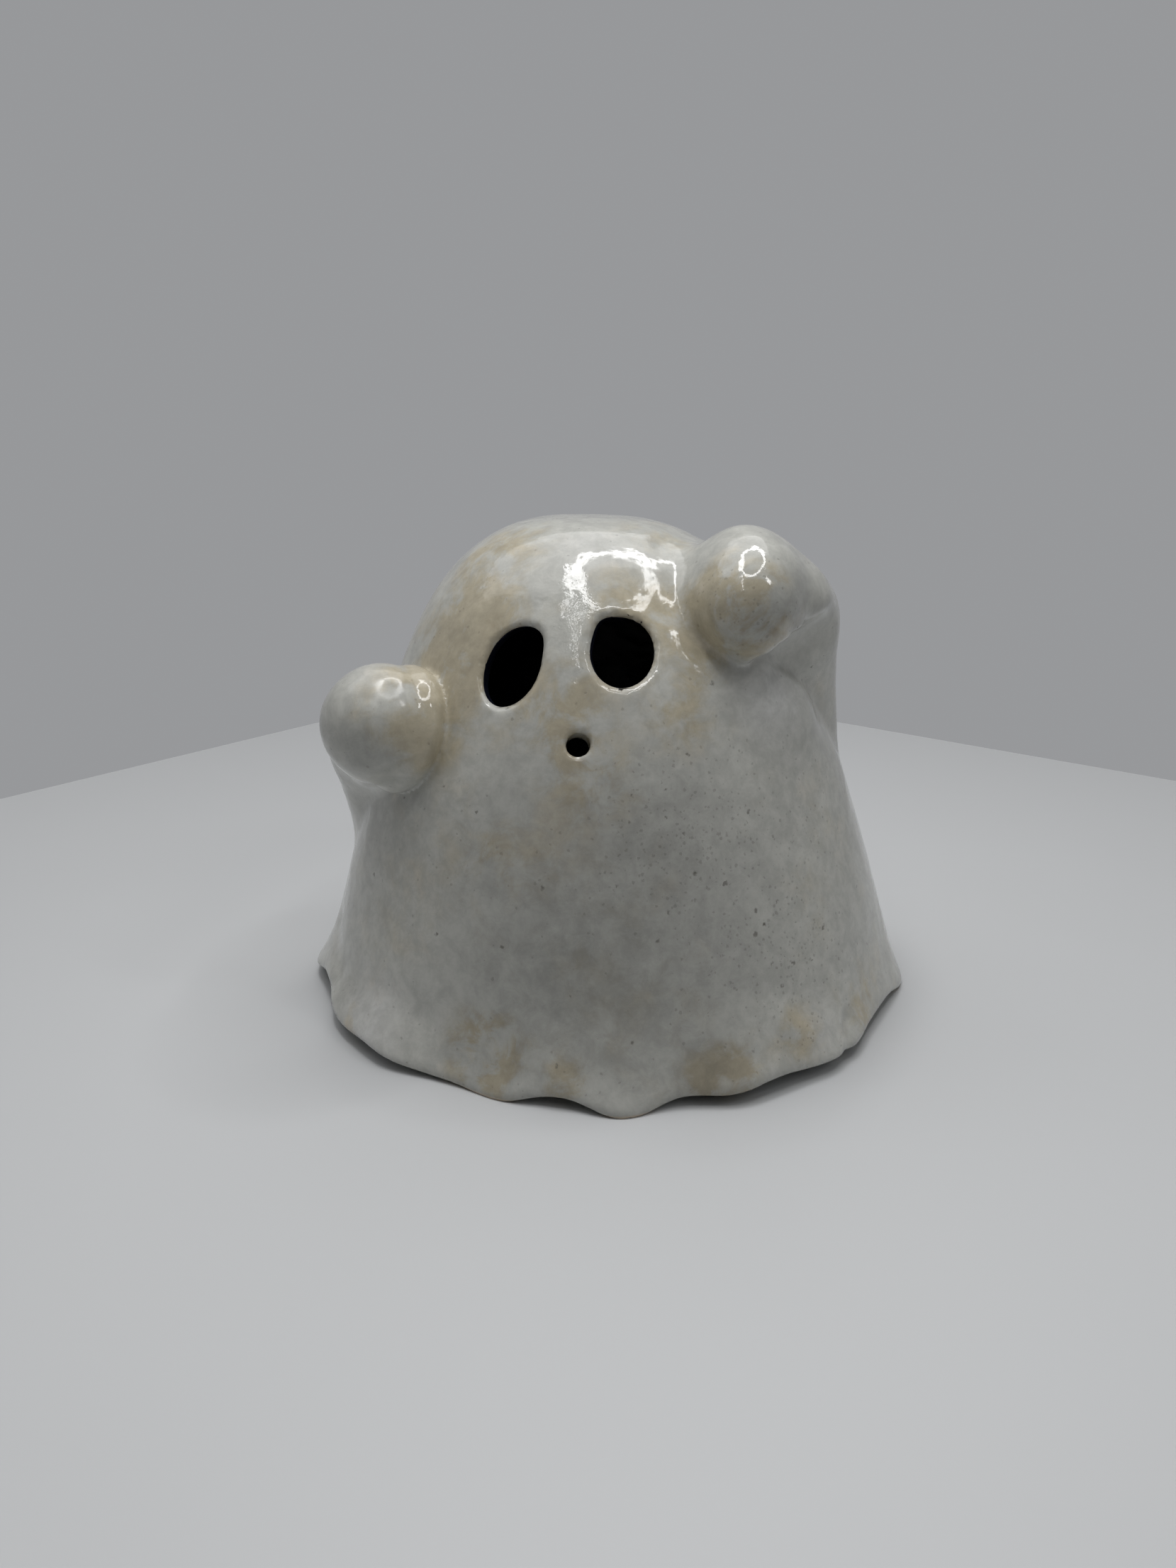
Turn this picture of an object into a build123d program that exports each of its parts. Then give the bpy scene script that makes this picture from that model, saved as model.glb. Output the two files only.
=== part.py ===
from build123d import *
import os
from math import asin, cos, exp, prod, radians, sin

# A hand-built ceramic ghost: a clay sheet draped over a round head and two raised hands.
# It is hollow and open underneath, and stands on the low folds of its hem.
# Sizes are in millimetres. +Z is up, the face looks along -Y and the table is at height 0.
# Azimuths are in degrees about +Z, from the face at 0 towards +X at 90.
# A drop is measured down from BODY_HEIGHT, so that the face and the hands keep their place under the crown.

# Body slab: the wall's radius is BODY_RADIUS at the table and falls to nothing at BODY_HEIGHT.
BODY_HEIGHT = 88.4
BODY_RADIUS = 56.4
DOME_POWER = 3.05
WALL = 5.0
HEAD_LEAN = -4.5
CROWN_FLAT = 7.0

# Hem: it flares near the table, stands on its folds and is lifted between them.
HEM_FLARE = 1.0
FLARE_HEIGHT = 5.0
FOLD_HEIGHT = 12.0
HEM_LIFT = 2.6
FOOT_DEPTH = 0.5

# Folds of the hem: azimuth, half width in degrees, and how far the fold stands out.
HEM_FOLDS = [
    (-160, 14, 1.5),
    (-118, 12, 2.0),
    (-76, 11, 1.8),
    (-49, 12, 1.3),
    (-30, 9, 0.3),
    (-13, 8, 0.3),
    (10, 8, 1.1),
    (27, 8, 0.3),
    (50, 11, 0.4),
    (86, 8, 1.6),
    (128, 13, 1.6),
    (165, 13, 1.4),
]

# Eye holes, cut straight through the wall along one direction that rises by EYE_CUT_RISE.
EYE_CUT_RISE = 19.0
LEFT_EYE_AZIMUTH = -17.0
LEFT_EYE_DROP = 21.0
LEFT_EYE_HEIGHT = BODY_HEIGHT - LEFT_EYE_DROP
LEFT_EYE_WIDTH = 9.4
LEFT_EYE_LENGTH = 13.6
LEFT_EYE_TILT = 19.0
LEFT_EYE_CORNER = 52.0
LEFT_EYE_CORNER_REACH = 0.8
RIGHT_EYE_AZIMUTH = 14.0
RIGHT_EYE_DROP = 18.3
RIGHT_EYE_HEIGHT = BODY_HEIGHT - RIGHT_EYE_DROP
RIGHT_EYE_WIDTH = 10.1
RIGHT_EYE_LENGTH = 11.7
RIGHT_EYE_TILT = -6.0
RIGHT_EYE_CORNER = 125.0
RIGHT_EYE_CORNER_REACH = 0.8
EYE_CORNER_SPREAD = 22.0

# Mouth hole, poked through the wall at its own slant.
MOUTH_AZIMUTH = 1.7
MOUTH_DROP = 32.0
MOUTH_HEIGHT = BODY_HEIGHT - MOUTH_DROP
MOUTH_DIAMETER = 3.7
MOUTH_CUT_AZIMUTH = 14.0
MOUTH_CUT_RISE = 31.0

# Dark glaze inside: a thin coat that ends above the foot and lines the eye holes.
GLAZE_COAT = 0.6
GLAZE_EDGE = 6.0
EYE_LINING_SETBACK = 1.0

# Hands: hollow pinched balls, drawn out a little from the wall, with a neck and a vent through the wall.
HAND_WALL = 4.5
HAND_NECK = 8.0
VENT_DIAMETER = 3.0
LEFT_HAND_AZIMUTH = -47.5
LEFT_HAND_DROP = 34.1
LEFT_HAND_HEIGHT = BODY_HEIGHT - LEFT_HAND_DROP
LEFT_HAND_STANDOFF = 5.2
LEFT_HAND_WIDTH = 21.0
LEFT_HAND_STRETCH = 1.2
RIGHT_HAND_AZIMUTH = 54.0
RIGHT_HAND_DROP = 13.8
RIGHT_HAND_HEIGHT = BODY_HEIGHT - RIGHT_HAND_DROP
RIGHT_HAND_STANDOFF = 6.4
RIGHT_HAND_WIDTH = 21.6
RIGHT_HAND_STRETCH = 1.4

# Sleeves: the sheet hangs from each wrist to the elbow and down to the flank.
# An elbow or flank end is a ball: its azimuth, height and stand-off from the wall, and its radius.
# A flank end is sunk into the wall, so that the sheet runs out on it.
# The wrist's end of the sheet enters the elbow's ball with a radius that is smaller by ELBOW_TUCK.
WRIST_RADIUS = 9.0
ELBOW_TUCK = 0.4
LEFT_ELBOW_AZIMUTH = -72.0
LEFT_ELBOW_DROP = 39.4
LEFT_ELBOW_HEIGHT = BODY_HEIGHT - LEFT_ELBOW_DROP
LEFT_ELBOW_STANDOFF = -2.0
LEFT_ELBOW_RADIUS = 12.2
LEFT_FLANK_AZIMUTH = -89.0
LEFT_FLANK_HEIGHT = 20.0
LEFT_FLANK_STANDOFF = -9.9
LEFT_FLANK_RADIUS = 7.7
RIGHT_ELBOW_AZIMUTH = 83.0
RIGHT_ELBOW_DROP = 16.9
RIGHT_ELBOW_HEIGHT = BODY_HEIGHT - RIGHT_ELBOW_DROP
RIGHT_ELBOW_STANDOFF = -1.2
RIGHT_ELBOW_RADIUS = 13.0
RIGHT_FLANK_AZIMUTH = 108.5
RIGHT_FLANK_HEIGHT = 29.4
RIGHT_FLANK_STANDOFF = -9.5
RIGHT_FLANK_RADIUS = 7.3

# Wrist coils: soft rolls of clay that lute the hands on, bent round part of each wrist.
# The left coil lies on the wall on the face's side of the hand.
LEFT_COIL_RING = 7.7
LEFT_COIL_ROLL = 3.2
LEFT_COIL_STANDOFF = 0.5
LEFT_COIL_START = 112.0
LEFT_COIL_END = -112.0
# The right coil lies under the hand, where the sleeve meets it.
RIGHT_COIL_RING = 9.8
RIGHT_COIL_ROLL = 2.0
RIGHT_COIL_SETBACK = 4.0
RIGHT_COIL_START = 10.0
RIGHT_COIL_END = -100.0

# Fineness of the lofted wall, and how far a cutter runs past what it cuts.
RING_POINTS = 48
HEM_RINGS = 3
DOME_RINGS = 8
OUTLINE_POINTS = 24
CUT_MARGIN = 10.0


def swell(azimuth, centre, spread):
    """A smooth bump, 1 at its centre, over the angle between an azimuth and the centre."""
    off = (azimuth - centre + 180) % 360 - 180
    return exp(-((off / spread) ** 2))


def wall_reach(azimuth, height, inset=0.0):
    """Radius of the wall about its leaning axis, on a surface set in from the outside."""
    share = 1 - height / (BODY_HEIGHT - inset)
    plain = (BODY_RADIUS - inset) * share ** (1 / DOME_POWER)
    flare = HEM_FLARE * exp(-height / FLARE_HEIGHT)
    folds = sum(reach * swell(azimuth, centre, spread) for centre, spread, reach in HEM_FOLDS)
    return plain + flare + folds * exp(-height / FOLD_HEIGHT)


def outward(azimuth, rise=0.0):
    """The direction that an azimuth and a rise above the level point to."""
    a, e = radians(azimuth), radians(rise)
    return Vector(sin(a) * cos(e), -cos(a) * cos(e), sin(e))


def wall_point(azimuth, height, inset=0.0):
    lean = HEAD_LEAN * (height / BODY_HEIGHT) ** 2
    return Vector(lean, 0, height) + outward(azimuth) * wall_reach(azimuth, height, inset)


def wall_normal(azimuth, height):
    """The way the outside of the wall faces."""
    step = 0.1
    across = wall_point(azimuth + step, height) - wall_point(azimuth - step, height)
    along = wall_point(azimuth, height + step) - wall_point(azimuth, height - step)
    return across.cross(along).normalized()


def off_wall(azimuth, height, standoff):
    return wall_point(azimuth, height) + wall_normal(azimuth, height) * standoff


def closed_curve(point_at):
    """A closed smooth curve through evenly spaced azimuths, which starts at the back."""
    azimuths = [180 + 360 * i / RING_POINTS for i in range(RING_POINTS)]
    return Edge.make_spline([point_at(azimuth) for azimuth in azimuths], periodic=True)


def dome(inset):
    """The solid inside a surface set in from the outside of the wall, from below the table to the crown."""
    top = BODY_HEIGHT - inset
    hem_top = 2 * FLARE_HEIGHT
    hem_heights = [hem_top * i / HEM_RINGS for i in range(-1, HEM_RINGS)]
    widest = (1 - hem_top / top) ** (1 / DOME_POWER)
    narrowest = CROWN_FLAT / BODY_RADIUS
    shares = [widest + (narrowest - widest) * i / (DOME_RINGS - 1) for i in range(DOME_RINGS)]
    dome_heights = [top * (1 - share**DOME_POWER) for share in shares]
    rings = [
        Wire([closed_curve(lambda azimuth: wall_point(azimuth, height, inset))])
        for height in hem_heights + dome_heights
    ]
    return Solid.make_loft(rings)


def outside_of_wall(piece):
    """What of a piece stands out of the body."""
    return piece - dome(0.0)


def below_hem():
    """What lies under the wavy edge of the hem and under the table."""

    def edge_at(overhang):
        def point_at(azimuth):
            touch = 1 - prod(1 - swell(azimuth, centre, spread) for centre, spread, _ in HEM_FOLDS)
            height = HEM_LIFT - (HEM_LIFT + FOOT_DEPTH) * touch
            return outward(azimuth) * (wall_reach(azimuth, 0) + overhang) + Vector(0, 0, height)

        return closed_curve(point_at)

    surface = Face.make_surface_from_curves(edge_at(-WALL - CUT_MARGIN), edge_at(CUT_MARGIN))
    depth = HEM_LIFT + CUT_MARGIN
    span = 2 * (BODY_RADIUS + 2 * CUT_MARGIN)
    under_table = Box(span, span, depth, align=(Align.CENTER, Align.CENTER, Align.MAX))
    return Solid.extrude(surface, Vector(0, 0, -depth)) + under_table


def eye_hole(seat, width, length, tilt, corner, corner_reach, inset=0.0):
    """A prism through the wall with the outline of an eye: an ellipse with one drawn-out corner."""
    across, along = width / 2 - inset, length / 2 - inset
    points = []
    for i in range(OUTLINE_POINTS):
        angle = 360 * i / OUTLINE_POINTS
        turned = radians(angle + tilt)
        reach = ((cos(turned) / across) ** 2 + (sin(turned) / along) ** 2) ** -0.5
        reach += corner_reach * swell(angle, corner, EYE_CORNER_SPREAD)
        points.append((reach * cos(radians(angle)), reach * sin(radians(angle))))
    plane = Plane(wall_point(*seat), x_dir=(1, 0, 0), z_dir=outward(0, EYE_CUT_RISE))
    outline = plane * make_face(Spline(points, periodic=True))
    return extrude(outline, WALL + CUT_MARGIN, both=True)


def left_eye(inset=0.0):
    return eye_hole(
        (LEFT_EYE_AZIMUTH, LEFT_EYE_HEIGHT),
        LEFT_EYE_WIDTH,
        LEFT_EYE_LENGTH,
        LEFT_EYE_TILT,
        LEFT_EYE_CORNER,
        LEFT_EYE_CORNER_REACH,
        inset,
    )


def right_eye(inset=0.0):
    return eye_hole(
        (RIGHT_EYE_AZIMUTH, RIGHT_EYE_HEIGHT),
        RIGHT_EYE_WIDTH,
        RIGHT_EYE_LENGTH,
        RIGHT_EYE_TILT,
        RIGHT_EYE_CORNER,
        RIGHT_EYE_CORNER_REACH,
        inset,
    )


def mouth():
    place = wall_point(MOUTH_AZIMUTH, MOUTH_HEIGHT)
    plane = Plane(place, z_dir=outward(MOUTH_CUT_AZIMUTH, MOUTH_CUT_RISE))
    return extrude(plane * Circle(MOUTH_DIAMETER / 2), WALL + CUT_MARGIN, both=True)


def round_cone(start, start_radius, end, end_radius):
    """Two balls and the cone that touches both."""
    gap = end - start
    slant = asin((start_radius - end_radius) / gap.length)
    near = Vector(start_radius * cos(slant), start_radius * sin(slant))
    far = Vector(end_radius * cos(slant), gap.length + end_radius * sin(slant))
    back, front = Vector(0, -start_radius), Vector(0, gap.length + end_radius)
    low_turn, high_turn = (slant - radians(90)) / 2, (slant + radians(90)) / 2
    low = Vector(start_radius * cos(low_turn), start_radius * sin(low_turn))
    high = Vector(end_radius * cos(high_turn), gap.length + end_radius * sin(high_turn))
    profile = [
        ThreePointArc(back, low, near),
        Line(near, far),
        ThreePointArc(far, high, front),
        Line(front, back),
    ]
    turned = revolve(Plane.XZ * make_face(profile), Axis.Z)
    return Plane(start, z_dir=gap) * turned


def ball(centre, facing, width, stretch):
    """A ball drawn out by a little along the way it faces."""
    shift = facing * (stretch / 2)
    return round_cone(centre - shift, width / 2, centre + shift, width / 2)


def roll(plane, ring, radius, start, end):
    """A round-ended roll of clay bent along an arc in a plane, from one angle to another."""
    path = plane * CenterArc((0, 0), ring, start, end - start)
    section = Plane(path @ 0, z_dir=path % 0) * Circle(radius)
    return sweep(section, path) + Pos(path @ 0) * Sphere(radius) + Pos(path @ 1) * Sphere(radius)


def bore(seat, standoff, diameter):
    """A round hole from the middle of a hand through the wall into the body."""
    inward = -wall_normal(*seat)
    start = off_wall(*seat, standoff)
    depth = standoff + WALL + CUT_MARGIN
    return Plane(start, z_dir=inward) * Cylinder(
        diameter / 2,
        depth,
        align=(Align.CENTER, Align.CENTER, Align.MIN),
    )


def hand_cavity(seat, standoff, width, stretch):
    """The hollow of a hand and the neck that opens it onto the wall."""
    hollow = ball(off_wall(*seat, standoff), wall_normal(*seat), width - 2 * HAND_WALL, stretch)
    return hollow + bore(seat, standoff, HAND_NECK)


def sleeve(hand_centre, elbow, elbow_radius, flank, flank_radius):
    arm = round_cone(hand_centre, WRIST_RADIUS, elbow, elbow_radius - ELBOW_TUCK)
    drape = round_cone(elbow, elbow_radius, flank, flank_radius)
    return arm + drape


def wrist_plane(seat, facing):
    """A plane across a wrist, with its x axis level and its y axis up the wrist."""
    return Plane(seat, x_dir=Vector(0, 0, 1).cross(facing), z_dir=facing)


def build_body():
    """The slab and the glaze inside it."""
    mouth_and_vents = [
        mouth(),
        bore((LEFT_HAND_AZIMUTH, LEFT_HAND_HEIGHT), LEFT_HAND_STANDOFF, VENT_DIAMETER),
        bore((RIGHT_HAND_AZIMUTH, RIGHT_HAND_HEIGHT), RIGHT_HAND_STANDOFF, VENT_DIAMETER),
    ]
    eyes = left_eye() + right_eye()
    body_shell = dome(0.0) - dome(WALL) - below_hem() - eyes - mouth_and_vents

    coat_span = 2 * (BODY_RADIUS + CUT_MARGIN)
    below_coat = Box(coat_span, coat_span, BODY_HEIGHT, align=(Align.CENTER, Align.CENTER, Align.MAX))
    coated = dome(WALL) + (eyes & dome(EYE_LINING_SETBACK))
    clear = left_eye(GLAZE_COAT) + right_eye(GLAZE_COAT)
    inner_glaze = coated - dome(WALL + GLAZE_COAT) - clear - mouth_and_vents
    inner_glaze -= Pos(0, 0, GLAZE_EDGE) * below_coat
    return {"body_shell": body_shell, "inner_glaze": inner_glaze}


def build_left_arm():
    seat = (LEFT_HAND_AZIMUTH, LEFT_HAND_HEIGHT)
    centre = off_wall(*seat, LEFT_HAND_STANDOFF)
    hand_ball = ball(centre, wall_normal(*seat), LEFT_HAND_WIDTH, LEFT_HAND_STRETCH)
    cavity = hand_cavity(seat, LEFT_HAND_STANDOFF, LEFT_HAND_WIDTH, LEFT_HAND_STRETCH)
    plane = wrist_plane(off_wall(*seat, LEFT_COIL_STANDOFF), wall_normal(*seat))
    coil = roll(plane, LEFT_COIL_RING, LEFT_COIL_ROLL, LEFT_COIL_START, LEFT_COIL_END)
    elbow = off_wall(LEFT_ELBOW_AZIMUTH, LEFT_ELBOW_HEIGHT, LEFT_ELBOW_STANDOFF)
    flank = off_wall(LEFT_FLANK_AZIMUTH, LEFT_FLANK_HEIGHT, LEFT_FLANK_STANDOFF)
    cloth = sleeve(centre, elbow, LEFT_ELBOW_RADIUS, flank, LEFT_FLANK_RADIUS)
    return {
        "left_hand": outside_of_wall(hand_ball) - cavity,
        "left_wrist_coil": outside_of_wall(coil) - hand_ball,
        "left_sleeve": outside_of_wall(cloth) - hand_ball - coil,
    }


def build_right_arm():
    seat = (RIGHT_HAND_AZIMUTH, RIGHT_HAND_HEIGHT)
    centre = off_wall(*seat, RIGHT_HAND_STANDOFF)
    hand_ball = ball(centre, wall_normal(*seat), RIGHT_HAND_WIDTH, RIGHT_HAND_STRETCH)
    cavity = hand_cavity(seat, RIGHT_HAND_STANDOFF, RIGHT_HAND_WIDTH, RIGHT_HAND_STRETCH)
    elbow = off_wall(RIGHT_ELBOW_AZIMUTH, RIGHT_ELBOW_HEIGHT, RIGHT_ELBOW_STANDOFF)
    flank = off_wall(RIGHT_FLANK_AZIMUTH, RIGHT_FLANK_HEIGHT, RIGHT_FLANK_STANDOFF)
    cloth = sleeve(centre, elbow, RIGHT_ELBOW_RADIUS, flank, RIGHT_FLANK_RADIUS)
    reach = (centre - elbow).normalized()
    plane = wrist_plane(centre - reach * RIGHT_COIL_SETBACK, reach)
    coil = roll(plane, RIGHT_COIL_RING, RIGHT_COIL_ROLL, RIGHT_COIL_START, RIGHT_COIL_END)
    return {
        "right_hand": outside_of_wall(hand_ball) - cavity,
        "right_wrist_coil": outside_of_wall(coil) - hand_ball,
        "right_sleeve": outside_of_wall(cloth) - hand_ball - coil,
    }


pieces = build_body() | build_left_arm() | build_right_arm()
middle = pieces["body_shell"].bounding_box().center()
os.makedirs("parts", exist_ok=True)
for name, piece in pieces.items():
    export_step(Pos(-middle.X, -middle.Y, 0) * piece, f"parts/{name}.step")
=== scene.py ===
import math

import bpy
import numpy as np
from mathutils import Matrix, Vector, noise


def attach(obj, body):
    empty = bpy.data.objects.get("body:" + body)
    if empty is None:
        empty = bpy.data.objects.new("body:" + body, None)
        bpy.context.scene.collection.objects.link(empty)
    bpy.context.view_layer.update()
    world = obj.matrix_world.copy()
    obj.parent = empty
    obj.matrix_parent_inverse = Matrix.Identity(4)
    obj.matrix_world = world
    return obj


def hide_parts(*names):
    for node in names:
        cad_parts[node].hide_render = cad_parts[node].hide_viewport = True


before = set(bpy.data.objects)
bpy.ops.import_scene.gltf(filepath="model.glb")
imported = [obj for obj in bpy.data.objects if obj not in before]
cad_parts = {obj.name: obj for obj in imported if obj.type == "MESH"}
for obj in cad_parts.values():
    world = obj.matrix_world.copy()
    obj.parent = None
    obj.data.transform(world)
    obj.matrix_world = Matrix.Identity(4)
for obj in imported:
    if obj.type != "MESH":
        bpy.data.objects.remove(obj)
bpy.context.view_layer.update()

# The figure's shape in millimetres, with the face along -Y. Its axis stands AXIS_SHIFT off the frame's.
MM = 0.001
AXIS_SHIFT = (-0.31, -0.04)
BODY_HEIGHT = 88.4
BODY_RADIUS = 56.4
DOME_POWER = 3.05
WALL = 5.0
COAT = 0.6
INNER_ROUND = 0.6
HEAD_LEAN = -4.5
CROWN_RISE, CROWN_SPREAD = 0.7, 26.0

# The hem flares all round. Between its folds it is lifted, and at a fold its edge lies FOOT_DEPTH too low,
# so that the table cuts it flat.
HEM_FLARE, FLARE_HEIGHT = 1.0, 5.0
FOLD_HEIGHT = 12.0
HEM_LIFT = 2.1
FOOT_DEPTH = 0.6
HEM_ROUND = 3.0
# The flare stops growing below this height, and is full from this radius outward.
LOWEST_FLARE = -5.0
FULL_FLARE = 20.0
# Folds of the hem, as in the solids: azimuth, half width and reach.
HEM_FOLDS = [
    (-160, 14, 1.5),
    (-118, 12, 2.0),
    (-76, 11, 1.8),
    (-49, 12, 1.3),
    (-30, 9, 0.3),
    (-13, 8, 0.3),
    (10, 8, 1.1),
    (27, 8, 0.3),
    (50, 11, 0.4),
    (86, 8, 1.6),
    (128, 13, 1.6),
    (165, 13, 1.4),
]

# Lips of the hem: azimuth, half width, reach, the height over which the reach fades, and the edge's lift.
HEM_LIPS = [
    (-100, 10, 1.8, 9.0, 0.0),
    (-60, 20, 6.0, 6.0, 3.7),
    (-45, 7, 0.5, 6.0, 0.2),
    (-35, 9, 5.8, 6.0, 1.3),
    (-29, 6, -0.8, 6.0, 0.7),
    (-22, 6, 0.2, 6.0, -0.7),
    (1, 12, 4.2, 4.0, 0.3),
    (27, 6, 0.0, 6.0, 0.4),
    (30, 11, 6.4, 6.0, 2.4),
    (38, 7, 1.0, 6.0, -0.4),
    (50, 10, 5.0, 6.0, 2.6),
    (72, 11, 1.1, 8.0, 0.0),
]

# Eyes: azimuth, height, width, length, tilt, and the angle and reach of the drawn-out corner.
LEFT_EYE = (-17.0, 67.4, 9.4, 13.6, 19.0, 52.0, 0.8)
RIGHT_EYE = (14.0, 70.1, 10.1, 11.7, -6.0, 125.0, 0.8)
EYE_RISE, EYE_CORNER_SPREAD, EYE_RIM = 19.0, 22.0, 1.7
# Mouth: azimuth, height, width, and the azimuth and rise of the poke.
MOUTH = (1.7, 56.4, 3.7, 14.0, 31.0)
MOUTH_RIM = 1.0
CUT_REACH = 15.0
# The dark coat's lowest edge, its distance from the skin in the eye holes, and its depth into the wall.
GLAZE_EDGE, LINING_SETBACK, LINING_BACK = 6.0, 1.0, 1.5

# Hands: azimuth, height, stand-off, radius and stretch, and the wall, neck and vent of their hollows.
LEFT_HAND = (-47.5, 54.3, 5.2, 10.5, 1.2)
RIGHT_HAND = (54.0, 74.6, 6.4, 10.8, 1.4)
HAND_WALL = {"left": 4.5, "right": 7.3}
HAND_NECK = {"left": 8.0, "right": 5.0}
VENT = 3.0
# Sleeves: the radius at the wrist, and elbows and flanks by azimuth, height, stand-off and radius.
WRIST_RADIUS = 9.0
LEFT_ELBOW = (-72.0, 49.0, -2.0, 11.4)
LEFT_FLANK = (-89.0, 20.0, -9.9, 7.7)
RIGHT_ELBOW = (83.0, 71.5, -1.2, 13.0)
RIGHT_FLANK = (108.5, 29.4, -9.5, 7.3)
# The left coil: ring, roll, place along the wrist, first and last angle.
LEFT_COIL = (7.9, 3.4, 2.0, -78.0, 112.0)
# The right coil: places and radii along it.
RIGHT_COIL = [
    (25.2, -26.3, 69.5, 1.8),
    (28.4, -28.2, 71.6, 1.7),
    (30.8, -27.2, 73.2, 1.4),
    (33.2, -23.4, 73.8, 1.0),
]
# How softly the lengths of clay run into each other.
COIL_JOIN = 0.8
ELBOW_BLEND = 2.0
SLEEVE_BLEND = 2.4
COIL_BLEND = {"left": 0.9, "right": 2.0}
HAND_BLEND = 0.7

# The right hand is a fist under the sheet, with three knuckles and a hollow below: places and radii.
FIST_TOP = (24.4, -15.8, 81.6, 6.9)
FIST_FRONT = (25.2, -25.4, 76.5, 7.4)
FIST_SIDE = (31.0, -13.5, 74.6, 8.9)
HOLLOW_LOW = (32.8, -26.3, 64.0, 8.0)
HOLLOW_HIGH = (45.5, -15.3, 70.8, 6.4)
FIST_BLEND, ARM_BLEND, HOLLOW_BLEND = 3.0, 4.0, 2.4
# Clay within half this distance of the knuckles counts as the hand, not as the sleeve.
FIST_CLAIM = 6.0
# The right arm meets the wall in a crease below, and runs softly into the head above.
CREASE_HEIGHT, CREASE_BLEND = 63.0, 1.4
SOFT_HEIGHT, SOFT_BLEND = 86.0, 8.0

# Creases and swellings of the wall, along short lines: start, end, spread, and depth into the wall.
DENTS = [
    ((29.0, -24.0, 65.5), (34.0, -18.5, 59.0), 8.0, -2.6),
    ((44.9, -33.5, 6.2), (44.5, -36.6, 2.4), 1.8, 0.9),
    ((33.1, -43.4, 9.7), (39.9, -39.6, 5.4), 3.2, -0.9),
    ((-2.8, -57.0, 5.8), (-2.2, -57.4, 5.0), 2.2, -0.7),
    ((-47.0, -32.0, 9.5), (-27.0, -47.0, 9.5), 4.0, 0.9),
    ((-52.0, -20.0, 13.0), (-47.5, -31.0, 8.0), 3.0, 0.7),
]

# Unevenness of the kneaded clay: depth, size and offset of each noise.
KNEAD = [
    (0.34, 17.0, (0.0, 0.0, 0.0)),
    (0.10, 7.0, (9.0, 3.0, 5.0)),
    (0.02, 3.0, (0.0, 0.0, 0.0)),
]
# It starts at this height above the table, and grows to its full depth over this much more.
KNEAD_START, KNEAD_RAMP = 0.4, 4.0
# The brown of the rims, which on the walls of the holes is painted shade, fades over this distance from the
# eyes, and sooner from the mouth.
RIM_FADE, MOUTH_FADE_SHARE = 1.6, 1.4

# The grid in which the skin is drawn.
VOXEL = 0.6
GRID_LOW = (-62.0, -62.0, -1.5)
GRID_HIGH = (62.0, 62.0, 93.0)
# How far, in cells, a point may move at a time, and the rounds for seams and for hidden joints.
SETTLE_REACH, SEAM_REACH = 0.5, 0.8
SEAM_ROUNDS, SMOOTH_ROUNDS = 3, 6
# The step over which a slope is taken, and the least square of a slope.
SLOPE_STEP, LEAST_STEEP = 0.02, 0.05
# The number of each piece in the grid, where 0 is the air.
LABELS = {
    "body_shell": 1,
    "inner_glaze": 2,
    "left_hand": 3,
    "right_hand": 4,
    "left_sleeve": 5,
    "right_sleeve": 6,
    "left_wrist_coil": 7,
    "right_wrist_coil": 8,
}


def smooth_min(a, b, k):
    """The lesser of two distances, rounded off over a width k."""
    h = np.clip(0.5 + 0.5 * (b - a) / k, 0, 1)
    return b + (a - b) * h - k * h * (1 - h)


def smooth_max(a, b, k):
    """The greater of two distances, rounded off over a width k."""
    return -smooth_min(-a, -b, k)


def lean(z):
    """How far the head leans to the side at a height."""
    return HEAD_LEAN * np.clip(z / BODY_HEIGHT, 0, 1) ** 2


def swell(azimuth, centre, spread):
    """A soft bump round an azimuth, 1 at its centre."""
    off = (azimuth - centre + 180) % 360 - 180
    return np.exp(-((off / spread) ** 2))


def hem_sweep(azimuth, z):
    """How far the hem stands out, and the height of its edge."""
    low = np.maximum(z, LOWEST_FLARE)
    sweep = HEM_FLARE * np.exp(-low / FLARE_HEIGHT)
    fade = np.exp(-low / FOLD_HEIGHT)
    lifted = 1.0
    for centre, spread, reach in HEM_FOLDS:
        bump = swell(azimuth, centre, spread)
        sweep = sweep + reach * bump * fade
        lifted = lifted * (1 - bump)
    edge = HEM_LIFT - (HEM_LIFT + FOOT_DEPTH) * (1 - lifted)
    for centre, spread, reach, height, lift in HEM_LIPS:
        bump = swell(azimuth, centre, spread)
        sweep = sweep + reach * bump * np.exp(-low / height)
        edge = edge + lift * bump
    return sweep, edge


def dome(rho, z, sweep, inset):
    """About the distance to a surface set in from the outside of the wall."""
    height, radius, power = BODY_HEIGHT - inset, BODY_RADIUS - inset, DOME_POWER
    r = np.maximum(rho - sweep * np.clip(rho / FULL_FLARE, 0, 1), 1e-6)
    value = z / height + (r / radius) ** power - 1
    slope = np.hypot(power * r ** (power - 1) / radius**power, 1 / height)
    return value / slope


def outward(azimuth, rise=0.0):
    """The direction that points out at an azimuth and rises by an angle."""
    a, e = math.radians(azimuth), math.radians(rise)
    return np.array([math.sin(a) * math.cos(e), -math.cos(a) * math.cos(e), math.sin(e)])


def wall_point(azimuth, z):
    """A place on the outside of the wall."""
    share = 1 - z / BODY_HEIGHT
    sweep, _ = hem_sweep(np.float64(azimuth), np.float64(z))
    reach = BODY_RADIUS * share ** (1 / DOME_POWER) + sweep
    return outward(azimuth) * reach + np.array([lean(z), 0, z])


def wall_normal(azimuth, z):
    step = 0.1
    across = wall_point(azimuth + step, z) - wall_point(azimuth - step, z)
    along = wall_point(azimuth, z + step) - wall_point(azimuth, z - step)
    n = np.cross(across, along)
    return n / np.linalg.norm(n)


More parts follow.
